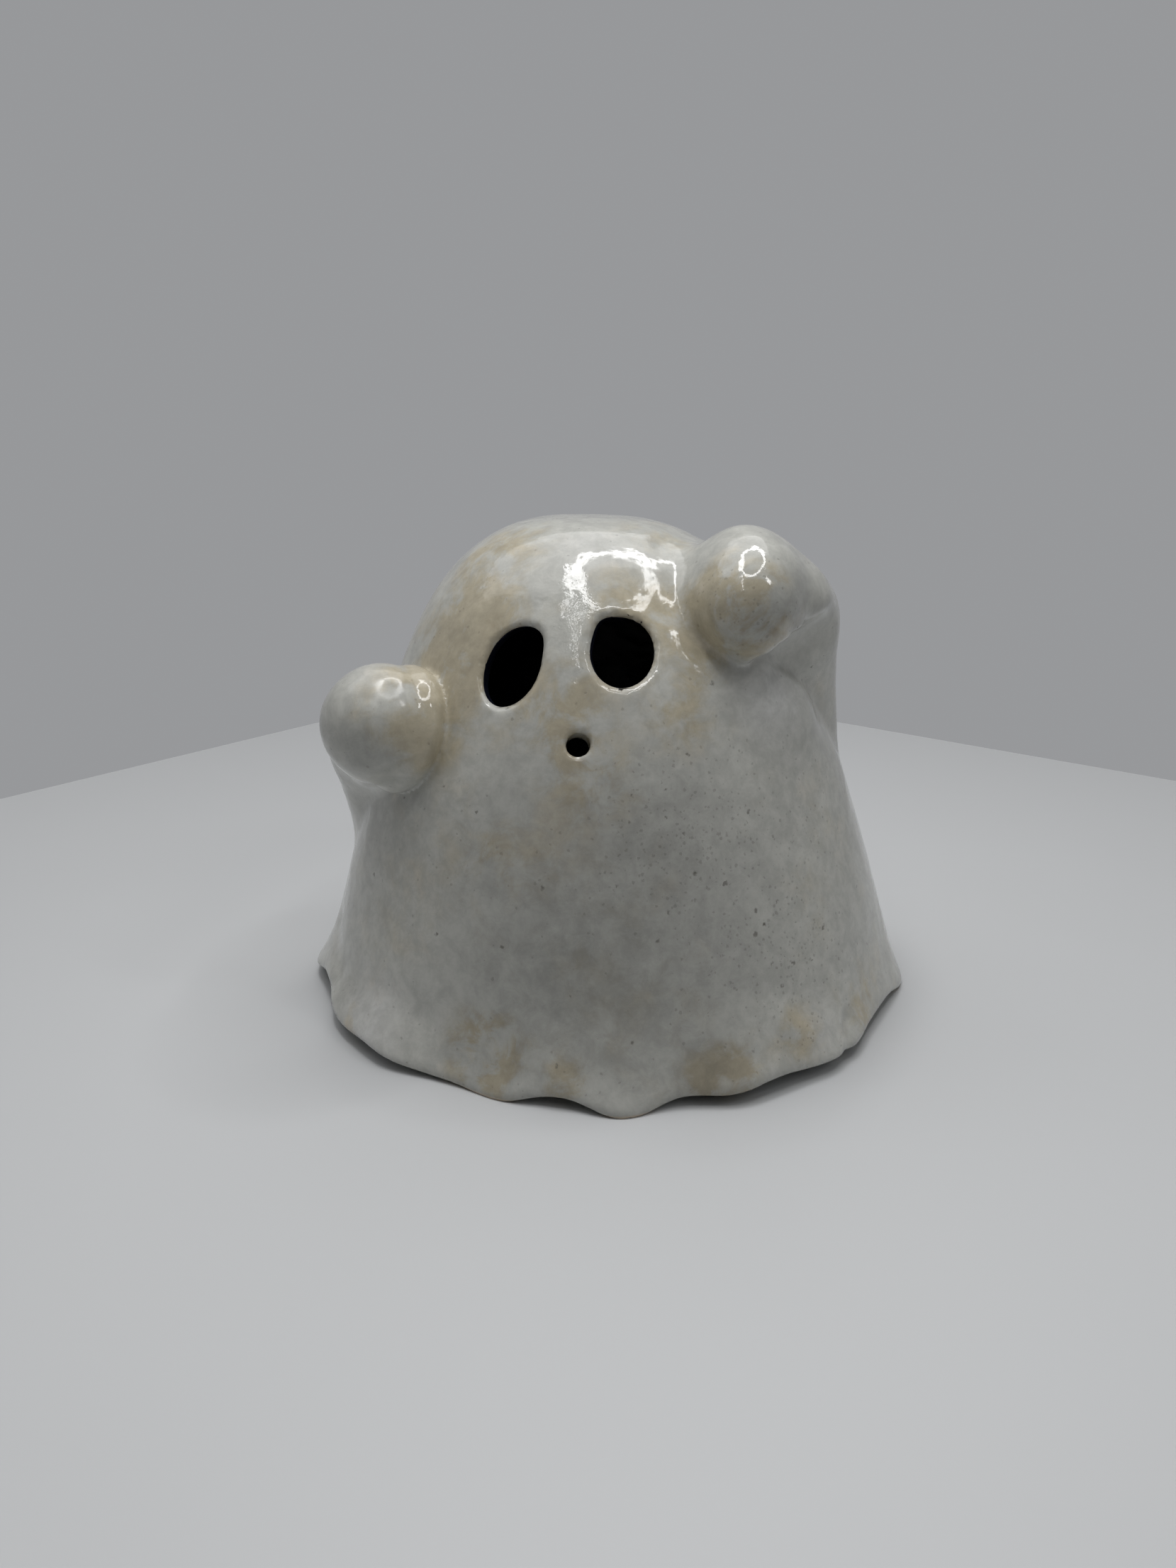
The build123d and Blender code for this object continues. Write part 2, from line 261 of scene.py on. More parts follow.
def off_wall(azimuth, z, standoff):
    """A place off the wall, outside it where the stand-off is positive."""
    return wall_point(azimuth, z) + wall_normal(azimuth, z) * standoff


def capsule(p, centre, axis, radius, stretch):
    """Distance to a ball stretched along an axis."""
    x, y, z = (p[i] - centre[i] for i in range(3))
    t = np.clip(x * axis[0] + y * axis[1] + z * axis[2], -stretch / 2, stretch / 2)
    return np.sqrt((x - t * axis[0]) ** 2 + (y - t * axis[1]) ** 2 + (z - t * axis[2]) ** 2) - radius


def cylinder(p, base, axis, radius, start, end):
    """About the distance to a rod with flat ends."""
    x, y, z = (p[i] - base[i] for i in range(3))
    t = x * axis[0] + y * axis[1] + z * axis[2]
    rho = np.sqrt(np.maximum(x * x + y * y + z * z - t * t, 0))
    return np.maximum(rho - radius, np.maximum(start - t, t - end))


def round_cone(p, a, b, r1, r2):
    """Distance to a taper with round ends."""
    ba = b - a
    l2 = float(ba @ ba)
    rr = r1 - r2
    a2 = l2 - rr * rr
    x, y, z = (p[i] - a[i] for i in range(3))
    along = x * ba[0] + y * ba[1] + z * ba[2]
    past = along - l2
    x2 = (x * l2 - along * ba[0]) ** 2 + (y * l2 - along * ba[1]) ** 2 + (z * l2 - along * ba[2]) ** 2
    y2, z2 = along * along * l2, past * past * l2
    k = np.sign(rr) * rr * rr * x2
    side = (np.sqrt(x2 * a2 / l2) + along * rr) / l2 - r1
    d = np.where(np.sign(past) * a2 * z2 > k, np.sqrt(x2 + z2) / l2 - r2, side)
    return np.where(np.sign(along) * a2 * y2 < k, np.sqrt(x2 + y2) / l2 - r1, d)


def bent_roll(p, centre, axis, across, ring, roll, first, last):
    """Distance to a part of a ring, with round ends."""
    up = np.cross(axis, across)
    x, y, z = (p[i] - centre[i] for i in range(3))
    lx = x * across[0] + y * across[1] + z * across[2]
    ly = x * up[0] + y * up[1] + z * up[2]
    lz = x * axis[0] + y * axis[1] + z * axis[2]
    mid, half = math.radians((first + last) / 2), math.radians((last - first) / 2)
    cx = lx * math.cos(mid) + ly * math.sin(mid)
    cy = np.abs(ly * math.cos(mid) - lx * math.sin(mid))
    on = np.hypot(np.hypot(cx, cy) - ring, lz)
    off = np.sqrt((cx - ring * math.cos(half)) ** 2 + (cy - ring * math.sin(half)) ** 2 + lz * lz)
    return np.where(np.arctan2(cy, cx) < half, on, off) - roll


def eye(p, azimuth, height, width, length, tilt, corner, reach):
    """About the distance from an eye's outline, outside it, square to the cut."""
    axis = outward(0, EYE_RISE)
    up = np.cross(axis, [1.0, 0, 0])
    base = wall_point(azimuth, height)
    x, y, z = (p[i] - base[i] for i in range(3))
    w = x * up[0] + y * up[1] + z * up[2]
    depth = x * axis[0] + y * axis[1] + z * axis[2]
    angle = np.arctan2(w, x)
    turned = angle + math.radians(tilt)
    edge = 1 / np.sqrt((np.cos(turned) / (width / 2)) ** 2 + (np.sin(turned) / (length / 2)) ** 2)
    edge = edge + reach * swell(np.degrees(angle), corner, EYE_CORNER_SPREAD)
    return np.maximum(np.hypot(x, w) - edge, np.abs(depth) - CUT_REACH)


HANDS = {}
for side, hand, elbow, flank in (
    ("left", LEFT_HAND, LEFT_ELBOW, LEFT_FLANK),
    ("right", RIGHT_HAND, RIGHT_ELBOW, RIGHT_FLANK),
):
    HANDS[side] = {
        "centre": off_wall(*hand[:3]),
        "facing": wall_normal(*hand[:2]),
        "elbow": off_wall(*elbow[:3]),
        "elbow_radius": elbow[3],
        "flank": off_wall(*flank[:3]),
        "flank_radius": flank[3],
        "standoff": hand[2],
        "radius": hand[3],
        "stretch": hand[4],
    }


def left_coil(p):
    ring, roll, place, first, last = LEFT_COIL
    facing = HANDS["left"]["facing"]
    across = np.cross([0, 0, 1.0], facing)
    across = across / np.linalg.norm(across)
    return bent_roll(p, off_wall(*LEFT_HAND[:2], place), facing, across, ring, roll, first, last)


def right_coil(p):
    whole = None
    for start, end in zip(RIGHT_COIL, RIGHT_COIL[1:]):
        length = round_cone(p, np.array(start[:3]), np.array(end[:3]), start[3], end[3])
        whole = length if whole is None else smooth_min(whole, length, COIL_JOIN)
    return whole


def fist(p):
    """The knuckles, as two tapers that meet at the top."""
    top, front, side = (np.array(k) for k in (FIST_TOP, FIST_FRONT, FIST_SIDE))
    nose = round_cone(p, top[:3], front[:3], top[3], front[3])
    shoulder = round_cone(p, top[:3], side[:3], top[3], side[3])
    return smooth_min(nose, shoulder, FIST_BLEND)


def fist_hollow(p):
    low, high = np.array(HOLLOW_LOW), np.array(HOLLOW_HIGH)
    return round_cone(p, low[:3], high[:3], low[3], high[3])


def uneven(p):
    """How far the wall is pressed in or swollen."""
    total = 0.0
    for start, end, spread, depth in DENTS:
        a, b = np.array(start), np.array(end)
        length = np.linalg.norm(b - a)
        far = capsule(p, (a + b) / 2, (b - a) / length, 0.0, length)
        total = total + depth * np.exp(-((far / spread) ** 2))
    return total


def fields(x, y, z):
    """Distances, in millimetres, to the figure, to each of its pieces and to its eyes and mouth."""
    p = (x - AXIS_SHIFT[0], y - AXIS_SHIFT[1], z)
    along = p[0] - lean(z)
    rho = np.hypot(along, p[1])
    sweep, edge = hem_sweep(np.degrees(np.arctan2(along, -p[1])), z)
    crown = CROWN_RISE * np.exp(-((rho / CROWN_SPREAD) ** 2)) * np.clip(z / BODY_HEIGHT, 0, 1)
    f = {"body_shell": dome(rho, z, sweep, 0.0) - crown + uneven(p)}
    hollow = dome(rho, z, sweep, WALL + COAT)
    skin = f["body_shell"]
    cavity = None
    for side in HANDS:
        arm = HANDS[side]
        upper = round_cone(p, arm["centre"], arm["elbow"], WRIST_RADIUS, arm["elbow_radius"])
        lower = round_cone(p, arm["elbow"], arm["flank"], arm["elbow_radius"], arm["flank_radius"])
        f[f"{side}_sleeve"] = smooth_min(upper, lower, ELBOW_BLEND)
        f[f"{side}_wrist_coil"] = left_coil(p) if side == "left" else right_coil(p)
        if side == "left":
            f["left_hand"] = capsule(p, arm["centre"], arm["facing"], arm["radius"], arm["stretch"])
            skin = smooth_min(skin, f["left_sleeve"], SLEEVE_BLEND)
            skin = smooth_min(skin, f["left_hand"], HAND_BLEND)
        else:
            f["right_hand"] = fist(p)
            draped = smooth_min(f["right_sleeve"], f["right_hand"], ARM_BLEND)
            draped = smooth_max(draped, -fist_hollow(p), HOLLOW_BLEND)
            soft = np.clip((z - CREASE_HEIGHT) / (SOFT_HEIGHT - CREASE_HEIGHT), 0, 1)
            soft = soft * soft * (3 - 2 * soft)
            skin = smooth_min(skin, draped, CREASE_BLEND + (SOFT_BLEND - CREASE_BLEND) * soft)
        skin = smooth_min(skin, f[f"{side}_wrist_coil"], COIL_BLEND[side])
        # Each hand is a hollow ball with a neck and a vent into the body.
        pinched = capsule(p, arm["centre"], arm["facing"], arm["radius"] - HAND_WALL[side], arm["stretch"])
        neck = cylinder(p, arm["centre"], -arm["facing"], HAND_NECK[side] / 2, 0, arm["standoff"])
        vent = cylinder(p, arm["centre"], -arm["facing"], VENT / 2, 0, arm["standoff"] + WALL + CUT_REACH)
        inside = np.minimum(np.minimum(pinched, neck), vent)
        cavity = inside if cavity is None else np.minimum(cavity, inside)
    eyes = np.minimum(eye(p, *LEFT_EYE), eye(p, *RIGHT_EYE))
    axis = outward(*MOUTH[3:])
    mouth = cylinder(p, wall_point(*MOUTH[:2]), axis, MOUTH[2] / 2, -CUT_REACH, CUT_REACH)
    solid = smooth_max(skin, edge - z, HEM_ROUND)
    solid = smooth_max(solid, -hollow, INNER_ROUND)
    solid = np.maximum(solid, -cavity)
    solid = smooth_max(solid, -eyes, EYE_RIM)
    solid = smooth_max(solid, -mouth, MOUTH_RIM)
    f["figure"] = np.maximum(solid, -z)
    lining = np.maximum(eyes - LINING_BACK, skin + LINING_SETBACK)
    f["inner_glaze"] = np.minimum(np.maximum(hollow - LINING_BACK, GLAZE_EDGE - z), lining)
    f["right_sleeve"] = np.maximum(f["right_sleeve"], FIST_CLAIM - f["right_hand"])
    f["eyes"], f["mouth"] = eyes, mouth
    return f


ARM_NAMES = [n for n in LABELS if n not in ("body_shell", "inner_glaze")]


def label(f):
    """The piece that each point belongs to, and 0 in the air. No arm reaches into the dome."""
    nearest = np.full(f["figure"].shape, LABELS["body_shell"], np.int8)
    least = np.where(f["body_shell"] < 0, -np.inf, f["body_shell"])
    for name in ARM_NAMES:
        closer = f[name] < least
        nearest[closer] = LABELS[name]
        least = np.where(closer, f[name], least)
    glazed = (f["inner_glaze"] < 0) & (nearest == LABELS["body_shell"])
    nearest[glazed] = LABELS["inner_glaze"]
    nearest[f["figure"] >= 0] = 0
    return nearest


def nets(low, count):
    """One surface through all the pieces: vertices, quads, and the pieces on either side of each quad."""
    axes = [low[i] + VOXEL * np.arange(count[i], dtype=np.float32) for i in range(3)]
    x, y, z = np.meshgrid(*axes, indexing="ij", sparse=True)
    shape = tuple(count)
    f = fields(np.broadcast_to(x, shape), np.broadcast_to(y, shape), np.broadcast_to(z, shape))
    piece, dist = label(f), f["figure"].astype(np.float32)
    del f

    # A cell whose corners lie in different pieces gets a vertex.
    cells = tuple(n - 1 for n in shape)
    mixed = np.zeros(cells, bool)
    first = piece[:-1, :-1, :-1]
    for i in (0, 1):
        for j in (0, 1):
            for k in (0, 1):
                mixed |= piece[i : i + cells[0], j : j + cells[1], k : k + cells[2]] != first
    number = np.full(cells, -1, np.int64)
    number[mixed] = np.arange(mixed.sum())
    total = int(mixed.sum())

    # Each grid edge between two pieces gets a quad through the four cells round it.
    sums = {kind: np.zeros((total, 4)) for kind in ("air", "joint")}
    quads, sides = [], []
    for axis in range(3):
        ahead = [slice(None)] * 3
        behind = [slice(None)] * 3
        behind[axis], ahead[axis] = slice(None, -1), slice(1, None)
        a, b = piece[tuple(behind)], piece[tuple(ahead)]
        at = np.argwhere(a != b)
        la, lb = a[tuple(at.T)], b[tuple(at.T)]
        da, db = dist[tuple(behind)][tuple(at.T)], dist[tuple(ahead)][tuple(at.T)]
        open_edge = (la == 0) | (lb == 0)
        t = np.where(open_edge, da / np.where(open_edge, da - db, 1), 0.5)
        point = at.astype(float)
        point[:, axis] += t
        u, v = (axis + 1) % 3, (axis + 2) % 3
        ring = []
        for du, dv in ((-1, -1), (0, -1), (0, 0), (-1, 0)):
            cell = at.copy()
            cell[:, u] += du
            cell[:, v] += dv
            ids = number[tuple(cell.T)]
            ring.append(ids)
            for kind, mask in (("air", open_edge), ("joint", ~open_edge)):
                for c in range(3):
                    sums[kind][:, c] += np.bincount(ids[mask], point[mask][:, c], total)
                sums[kind][:, 3] += np.bincount(ids[mask], minlength=total)
        quads.append(np.stack(ring, 1))
        sides.append(np.stack([la, lb], 1))
    quads, sides = np.concatenate(quads), np.concatenate(sides)

    # A vertex on the skin lies amid the crossings into the air, and a hidden one amid those between pieces.
    on_skin = sums["air"][:, 3] > 0
    chosen = np.where(on_skin[:, None], sums["air"], sums["joint"])
    points = chosen[:, :3] / chosen[:, 3:4]
    return np.asarray(low) + VOXEL * points, quads, sides, on_skin


def slope_of(function, points, value):
    slope = np.empty_like(points)
    for i in range(3):
        moved = points.copy()
        moved[:, i] += SLOPE_STEP
        slope[:, i] = (function(moved) - value) / SLOPE_STEP
    return slope


def settle(points, function, rounds=3):
    """Moves points onto the surface where a function is 0."""
    for _ in range(rounds):
        value = function(points)
        slope = slope_of(function, points, value)
        steep = np.maximum((slope**2).sum(1), LEAST_STEEP)
        step = -(value / steep)[:, None] * slope
        size = np.linalg.norm(step, axis=1, keepdims=True)
        points = points + step * np.minimum(1, SETTLE_REACH * VOXEL / np.maximum(size, 1e-9))
    return points


def figure_at(points):
    return fields(*points.T)["figure"]


def seam_at(a, b):
    def value(points):
        f = fields(*points.T)
        return f[a] - f[b]

    return value


def glaze_at(points):
    return fields(*points.T)["inner_glaze"]


def neighbours(quads, total):
    """A function of positions, which gives the mean place of each vertex's neighbours."""
    edges = np.concatenate([quads[:, [i, (i + 1) % 4]] for i in range(4)])
    edges = np.unique(np.sort(edges, 1), axis=0)

    def mean(points):
        out = np.zeros_like(points)
        count = np.zeros(total)
        for a, b in ((0, 1), (1, 0)):
            for c in range(3):
                out[:, c] += np.bincount(edges[:, a], points[edges[:, b], c], total)
            count += np.bincount(edges[:, a], minlength=total)
        return np.where(count[:, None] > 0, out / np.maximum(count, 1)[:, None], points)

    return mean


def shape_pieces():
    count = [int((GRID_HIGH[i] - GRID_LOW[i]) / VOXEL) + 1 for i in range(3)]
    points, quads, sides, on_skin = nets(GRID_LOW, count)
    total = len(points)
    touching = {}
    for name, number in LABELS.items():
        mask = np.zeros(total, bool)
        mask[quads[(sides == number).any(1)]] = True
        touching[name] = mask
    points[on_skin] = settle(points[on_skin], figure_at)

    # The hidden joints between pieces are smoothed; the figure's skin stays where it is.
    mean = neighbours(quads, total)
    for _ in range(SMOOTH_ROUNDS):
        points = np.where(on_skin[:, None], points, mean(points))

    # On the skin, the edge between two pieces is drawn straight along the line where they meet.
    names = list(LABELS)
    for i, a in enumerate(names):
        for b in names[i + 1 :]:
            line = on_skin & touching[a] & touching[b]
            others = np.zeros(total, bool)
            for c in names:
                if c not in (a, b):
                    others |= touching[c]
            line &= ~others
            if not line.any():
                continue
            seam = glaze_at if "inner_glaze" in (a, b) else seam_at(a, b)
            moved = points[line]
            for _ in range(SEAM_ROUNDS):
                moved = settle(moved, seam, 1)
                moved = settle(moved, figure_at, 1)
            shift = moved - points[line]
            size = np.linalg.norm(shift, axis=1, keepdims=True)
            points[line] += shift * np.minimum(1, SEAM_REACH * VOXEL / np.maximum(size, 1e-9))
    points[on_skin] = settle(points[on_skin], figure_at, 1)
    return points, quads, sides, on_skin


def skin_normals(points, quads, sides):
    """Normals of the figure's skin, shared by the pieces, so that the glaze runs on across their edges."""
    outer = (sides == 0).any(1)
    faces = quads[outer].copy()
    flip = sides[outer][:, 0] == 0
    faces[flip] = faces[flip][:, ::-1]
    a = points[faces[:, 2]] - points[faces[:, 0]]
    b = points[faces[:, 3]] - points[faces[:, 1]]
    area = np.cross(a, b)
    normal = np.zeros_like(points)
    for i in range(4):
        for c in range(3):
            normal[:, c] += np.bincount(faces[:, i], area[:, c], len(points))
    return normal / np.maximum(np.linalg.norm(normal, axis=1, keepdims=True), 1e-9)


def knead(points, normals, on_skin):
    """The unevenness of clay shaped by hand, which leaves the foot flat."""
    out = points.copy()
    for i in np.nonzero(on_skin)[0]:
        p = Vector(points[i])
        rise = min(1.0, max(0.0, (p.z - KNEAD_START) / KNEAD_RAMP))
        bump = sum(depth * noise.noise(p / size + Vector(offset)) for depth, size, offset in KNEAD)
        out[i] += normals[i] * bump * rise
    return out


def add_mesh(name, points, faces, corner_normals, attributes):
    used, local = np.unique(faces, return_inverse=True)
    local = local.reshape(faces.shape)
    mesh = bpy.data.meshes.new(name)
    mesh.vertices.add(len(used))
    mesh.vertices.foreach_set("co", (points[used] * MM).astype(np.float32).ravel())
    mesh.loops.add(local.size)
    mesh.loops.foreach_set("vertex_index", local.astype(np.int32).ravel())
    mesh.polygons.add(len(local))
    mesh.polygons.foreach_set("loop_start", (4 * np.arange(len(local))).astype(np.int32))
    mesh.update(calc_edges=True)
    mesh.polygons.foreach_set("use_smooth", np.ones(len(local), bool))
    for key, values in attributes.items():
        layer = mesh.attributes.new(key, "FLOAT", "POINT")
        layer.data.foreach_set("value", values[used].astype(np.float32))
    mesh.normals_split_custom_set(corner_normals.reshape(-1, 3).tolist())
    obj = bpy.data.objects.new(name, mesh)
    bpy.context.scene.collection.objects.link(obj)
    return obj


def build_pieces():
    points, quads, sides, on_skin = shape_pieces()
    normals = skin_normals(points, quads, sides)
    f = fields(*points.T)
    holes = np.minimum(f["eyes"], f["mouth"] * MOUTH_FADE_SHARE)
    attributes = {"rim": np.exp(-np.maximum(holes, 0) / RIM_FADE)}
    points = knead(points, normals, on_skin)
    normals = skin_normals(points, quads, sides)

    # Each piece is closed. On the skin it takes the shared normals, and its hidden faces stay flat.
    built = {}
    for name, number in LABELS.items():
        faces, outside = [], []
        for own, other in ((0, 1), (1, 0)):
            mine = sides[:, own] == number
            ring = quads[mine]
            faces.append(ring if own == 0 else ring[:, ::-1])
            outside.append(sides[mine][:, other] == 0)
        faces, outside = np.concatenate(faces), np.concatenate(outside)
        a = points[faces[:, 2]] - points[faces[:, 0]]
        b = points[faces[:, 3]] - points[faces[:, 1]]
        flat = np.cross(a, b)
        flat /= np.maximum(np.linalg.norm(flat, axis=1, keepdims=True), 1e-9)
        corner = np.where(outside[:, None, None], normals[faces], flat[:, None, :])
        kind = "coat" if name == "inner_glaze" else "clay"
        built[name] = add_mesh(f"{name}_{kind}", points, faces, corner, attributes)
    return built


# Specks have ragged edges: how fine for a cell of 1 mm, how far in cells, and how soft.
RAGGED_SCALE, RAGGED_REACH = 2200.0, 0.7
SPECK_EDGE = (-0.06, 0.12)


class Graph:
    """A short way to lay out a material's nodes."""

    def __init__(self, name):
        self.material = bpy.data.materials.new(name)
        self.material.use_nodes = True
        self.tree = self.material.node_tree
        self.shader = self.tree.nodes["Principled BSDF"]

    def node(self, kind, **settings):
        made = self.tree.nodes.new(kind)
        for key, value in settings.items():
            setattr(made, key, value)
        return made

    def link(self, source, target):
        self.tree.links.new(source, target)

    def feed(self, target, value):
        if isinstance(value, bpy.types.NodeSocket):
            self.link(value, target)
        else:
            target.default_value = value

    def math(self, operation, a, b=0.0, clamp=False):
        made = self.node("ShaderNodeMath", operation=operation, use_clamp=clamp)
        self.feed(made.inputs[0], a)
        self.feed(made.inputs[1], b)
        return made.outputs[0]

    def noise(self, coords, size_mm, detail=3.0, roughness=0.55, distortion=0.0):
        made = self.node("ShaderNodeTexNoise")
        self.link(coords, made.inputs["Vector"])
        made.inputs["Scale"].default_value = 1000.0 / size_mm
        made.inputs["Detail"].default_value = detail
        made.inputs["Roughness"].default_value = roughness
        made.inputs["Distortion"].default_value = distortion
        return made.outputs["Fac"]

    def span(self, value, low, high, out_low=0.0, out_high=1.0):
        """Runs smoothly from out_low to out_high while a value goes from low to high."""
        made = self.node("ShaderNodeMapRange", interpolation_type="SMOOTHSTEP")
        self.feed(made.inputs["Value"], value)
        made.inputs["From Min"].default_value = low
        made.inputs["From Max"].default_value = high
        made.inputs["To Min"].default_value = out_low
        made.inputs["To Max"].default_value = out_high
        return made.outputs["Result"]

    def near(self, coords, place_mm, radius_mm, weight):
        """A soft patch: its weight at a place, and nothing past a radius."""
        made = self.node("ShaderNodeVectorMath", operation="DISTANCE")
        self.link(coords, made.inputs[0])
        made.inputs[1].default_value = [c * MM for c in place_mm]
        return self.span(made.outputs["Value"], 0.0, radius_mm * MM, weight, 0.0)

    def specks(self, coords, cell_mm, reach, share):
        """Ragged dots in a part of the cells, as an amount from 0 to 1."""
        ragged = self.node("ShaderNodeTexNoise")
        self.link(coords, ragged.inputs["Vector"])
        ragged.inputs["Scale"].default_value = RAGGED_SCALE / cell_mm
        spread = self.node("ShaderNodeVectorMath", operation="MULTIPLY_ADD")
        self.link(ragged.outputs["Color"], spread.inputs[0])
        spread.inputs[1].default_value = [RAGGED_REACH * cell_mm * MM] * 3
        self.link(coords, spread.inputs[2])
        dots = self.node("ShaderNodeTexVoronoi", feature="F1")
        self.link(spread.outputs[0], dots.inputs["Vector"])
        dots.inputs["Scale"].default_value = 1000.0 / cell_mm
        pick = self.node("ShaderNodeSeparateColor")
        self.link(dots.outputs["Color"], pick.inputs["Color"])
        size = self.math("MULTIPLY", pick.outputs["Green"], reach)
        inside = self.math("SUBTRACT", size, dots.outputs["Distance"])
        chosen = self.math("LESS_THAN", pick.outputs["Red"], share)
        return self.math("MULTIPLY", self.span(inside, *SPECK_EDGE), chosen)

    def mix(self, factor, a, b, blend="MIX"):
        made = self.node("ShaderNodeMix", data_type="RGBA", blend_type=blend)
        self.feed(made.inputs["Factor"], factor)
        self.feed(made.inputs["A"], a)
        self.feed(made.inputs["B"], b)
        return made.outputs["Result"]

    def value(self, name):
        """A value that the mesh holds at each vertex."""
        made = self.node("ShaderNodeAttribute", attribute_name=name)
        return made.outputs["Fac"]

    def bump(self, height, distance):
        made = self.node("ShaderNodeBump")
        made.inputs["Distance"].default_value = distance
        self.link(height, made.inputs["Height"])
        self.link(made.outputs["Normal"], self.shader.inputs["Normal"])


# Colours of the two glazes, of the bare clay and of the table.
GLAZE_LOW = (0.475, 0.475, 0.44, 1)
GLAZE_HIGH = (0.525, 0.525, 0.485, 1)
# The thick glaze colour is also painted light under the raised fist, along its ridge and on the hem's lips.
GLAZE_THICK_AND_PAINTED_LIGHT = (0.62, 0.62, 0.60, 1)
# The thin glaze colour is also painted shade on the front and on the hands.
GLAZE_THIN_AND_PAINTED_SHADE = (0.265, 0.265, 0.245, 1)
STAIN_TINT = (0.89, 0.79, 0.62, 1)
BURN_BROWN = (0.29, 0.235, 0.155, 1)
# The rims' brown is partly a brown edge and partly painted shade on the walls of the eye and mouth holes.
RIM_BROWN_AND_HOLE_SHADE = (0.36, 0.31, 0.22, 1)
SPECK_BROWN = (0.075, 0.065, 0.05, 1)
BARE_CLAY = (0.52, 0.43, 0.33, 1)
DARK_LOW = (0.004, 0.005, 0.01, 1)
DARK_HIGH = (0.016, 0.018, 0.034, 1)
FLOOR_LOW = (0.56, 0.57, 0.58, 1)
FLOOR_HIGH = (0.6, 0.61, 0.62, 1)
GLAZE_IOR = 1.52
# Sizes of clouds, ripples and pits in the glazes, and of the haze on the table, in millimetres.
BROAD_SIZE, CLOUD_SIZE, GRAIN_SIZE = 22, 7, 3.2
RIPPLE_SIZE, FINE_RIPPLE_SIZE, PIT_SIZE = 5.5, 1.6, 1.5
DARK_CLOUD_SIZE, DARK_RIPPLE_SIZE = 8, 4
HAZE_SIZE = 180
# Faint and strong specks: cell in millimetres, reach in the cell, share of the cells, and strength.
FAINT_SPECKS = (0.75, 0.42, 0.8, 0.26)
STRONG_SPECKS = (1.7, 0.30, 0.22, 0.6)
SPECKS_ANYWHERE = 0.1
# Roughness where a glaze is clear and where it is cloudy, what the bare foot adds, and the table's.
GLAZE_ROUGHNESS = (0.06, 0.14)
DARK_ROUGHNESS = (0.1, 0.22)
BARE_ROUGHNESS = 0.6
FLOOR_ROUGHNESS = 0.5
# How strongly the thin glaze with its painted shade shows, and the brown rims with the painted shade on the
# hole walls, and how the fine grain shades the colour.
THIN_AND_SHADE_STRENGTH, RIM_STRENGTH = 0.85, 0.45
GRAIN_SHADE = (0.88, 1.11)
# Shares of the broad and the small clouds in the mottling, and of fine ripples and specks in the bump.
BROAD_SHARE, CLOUD_SHARE = 0.55, 0.45
FINE_RIPPLE_SHARE, SPECK_SINK = 0.15, 0.1
# Heights of the bump, in metres.
GLAZE_BUMP, DARK_BUMP = 0.0002, 0.0003
# The glaze is wiped off the foot between these heights, in metres.
WIPED_LOW, WIPED_HIGH = 0.0002, 0.0007

# Warm stains in the glaze: place, radius and weight. They lie by the eyes, on the hands and along the hem.
STAINS = [
    (-24, -27, 68, 19, 0.42),
    (-18, -29, 73, 12, 0.34),
    (-13, -38, 60, 10, 0.12),
    (-3, -38, 62, 12, 0.34),
    (0, -42, 52, 13, 0.30),
    (-14, -44, 38, 16, 0.16),
    (17, -26, 73, 14, 0.34),
    (15, -34, 61, 12, 0.24),
    (-19, -16, 84, 15, 0.26),
    (27, -32, 77, 13, 0.34),
    (21, -31, 80, 10, 0.24),
    (-33, -40, 61, 11, 0.14),
    (-27, -37, 56, 9, 0.36),
    (-15, -55, 7, 11, 0.65),
    (-1, -57, 4, 7, 0.30),
    (-42, -42, 4, 6, 0.28),
    (37, -43, 8, 9, 0.22),
    (25, -53, 4, 9, 0.5),
    (50, -29, 6, 12, 0.28),
    (9, -10, 86, 12, 0.14),
    (5, -27, 77, 10, 0.20),
    (48, 18, 20, 22, 0.20),
    (-40, 38, 30, 24, 0.20),
    (8, 46, 40, 22, 0.18),
    (-10, 30, 72, 18, 0.18),
]
# Brown burns, small and strong, over the eyes and across the raised hand: place, radius and weight.
BURNS = [
    (-18, -30, 74, 6, 0.5),
    (-13, -33, 72, 5, 0.4),
    (-22, -31, 66, 5, 0.3),
    (10, -27, 77, 5, 0.15),
    (16, -30, 72, 5, 0.35),
    (24, -33, 76, 6, 0.6),
    (30, -31, 75, 5, 0.35),
    (22, -33, 71, 4, 0.35),
    (-27, -38, 55, 5, 0.3),
]
# Thin, greyer glaze on the front and on the hands, which is partly painted shade that darkens the front and
# the hands where they lie in shade: place, radius and weight.
THIN_AND_PAINTED_SHADE = [
    (4, -52, 26, 46, 1.0),
    (-34, -46, 53, 11, 0.9),
    (27, -33, 75, 10, 0.8),
    (33, -26, 76, 12, 0.6),
    (12, -46, 46, 18, 0.3),
    (24, -54, 5, 12, 0.8),
]
# Thick, whiter glaze, which is partly painted light: it lightens the shaded wall under the raised fist and
# paints highlights along the fist's lower ridge and on the hem's lips: place, radius and weight.
THICK_AND_PAINTED_LIGHT = [
    (31, -25, 62, 12, 1.0),
    (28.6, -29.4, 71, 3.5, 0.8),
    (31.4, -28.4, 73.4, 3.5, 0.8),
    (34.4, -23.8, 74.6, 3.5, 0.6),
    (-38, -45, 6, 13, 1.0),
    (38, -38, 6, 9, 0.5),
    (-2, -20, 84, 12, 0.4),
]
# Where the small specks gather: place, radius and weight.
SPECKS = [
    (28, -39, 33, 34, 1.0),
    (35, -39, 16, 20, 0.9),
    (15, -42, 45, 20, 0.8),
    (24, -30, 78, 13, 0.7),
    (-10, 40, 45, 30, 0.7),
]
